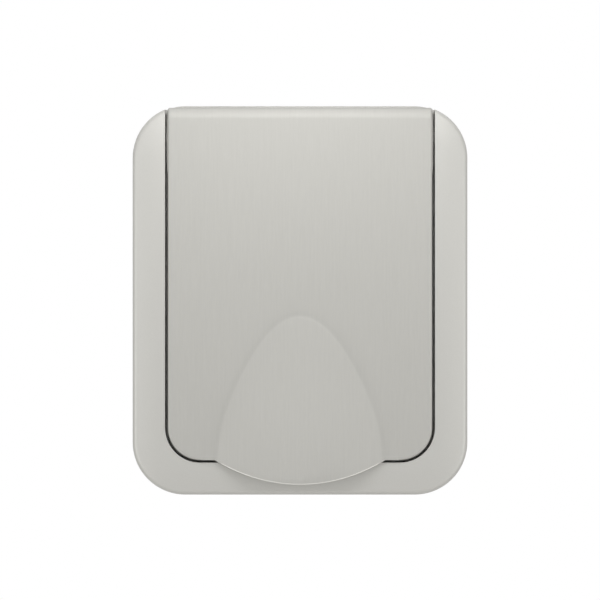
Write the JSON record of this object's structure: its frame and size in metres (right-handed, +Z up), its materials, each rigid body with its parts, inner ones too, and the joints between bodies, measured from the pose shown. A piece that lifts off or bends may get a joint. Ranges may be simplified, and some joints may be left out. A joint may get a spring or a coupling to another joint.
{
  "type": "outdoor weatherproof socket",
  "caption": "Flush-mounted weatherproof mains socket: silver-grey cover frame, spring-loaded hinged lid with raised arch and finger tongue, earthed shuttered insert behind it.",
  "frame": {"origin": "on the wall plane, behind the middle of the cover frame, midway between the two slots for the box screws", "axes": "+X to the right seen from the front, +Y into the wall, +Z up; the front faces -Y"},
  "size_m": [0.086, 0.0481, 0.1],
  "materials": {
    "silver_lacquer": "satin silver-grey lacquer on moulded plastic",
    "brushed_lid": "vertically brushed aluminium look, satin",
    "foam": "closed-cell foam, matt",
    "soft_rubber": "soft rubber, matt",
    "pin_steel": "stainless steel, drawn",
    "spring_steel": "spring wire",
    "insert_plastic": "satin moulded plastic, light grey",
    "shutter_plastic": "moulded plastic, off-white",
    "cover_plastic": "moulded plastic, dark grey",
    "base_plastic": "thermoset plastic, off-white, matt",
    "zinc": "galvanised sheet steel",
    "contact_brass": "brass, plain",
    "strap_steel": "tinned spring bronze",
    "screw_steel": "zinc-plated steel",
    "rivet_brass": "brass, plain"
  },
  "bodies": {
    "socket": {"wall_gasket": "foam", "cover_frame": "silver_lacquer", "hinge_pin": "pin_steel", "lid_spring_right": "spring_steel", "lid_spring_left": "spring_steel", "centre_plate": "insert_plastic", "plate_seal": "soft_rubber", "centre_screw": "screw_steel", "shutter_spring": "spring_steel", "shutter_cover": "shutter_plastic", "support_ring": "zinc", "contact_base": "base_plastic", "rear_cover": "cover_plastic", "line_contact": "contact_brass", "neutral_contact": "contact_brass", "earth_strap": "strap_steel", "terminal_screws": "screw_steel", "base_rivets": "rivet_brass", "line_clamp": "contact_brass", "neutral_clamp": "contact_brass", "earth_clamp": "contact_brass"},
    "lid": {"lid": "brushed_lid", "lid_seal": "soft_rubber"},
    "shutter": {"shutter": "shutter_plastic"}
  },
  "joints": [
    {"name": "lid_hinge", "type": "hinge", "parent": "socket", "child": "lid", "pos_m": [0, -0.0109, 0.0445], "axis": [-1, 0, 0], "range_deg": [0, 105], "stiffness_Nm_per_rad": 0.02, "springref_deg": -51.57, "deforming": ["lid_spring_right", "lid_spring_left"]},
    {"name": "shutter_turn", "type": "hinge", "parent": "socket", "child": "shutter", "pos_m": [0, 0.0104, 0], "axis": [0, 1, 0], "range_deg": [0, 38], "stiffness_Nm_per_rad": 0.004, "springref_deg": -28.65, "deforming": ["shutter_spring"]}
  ]
}
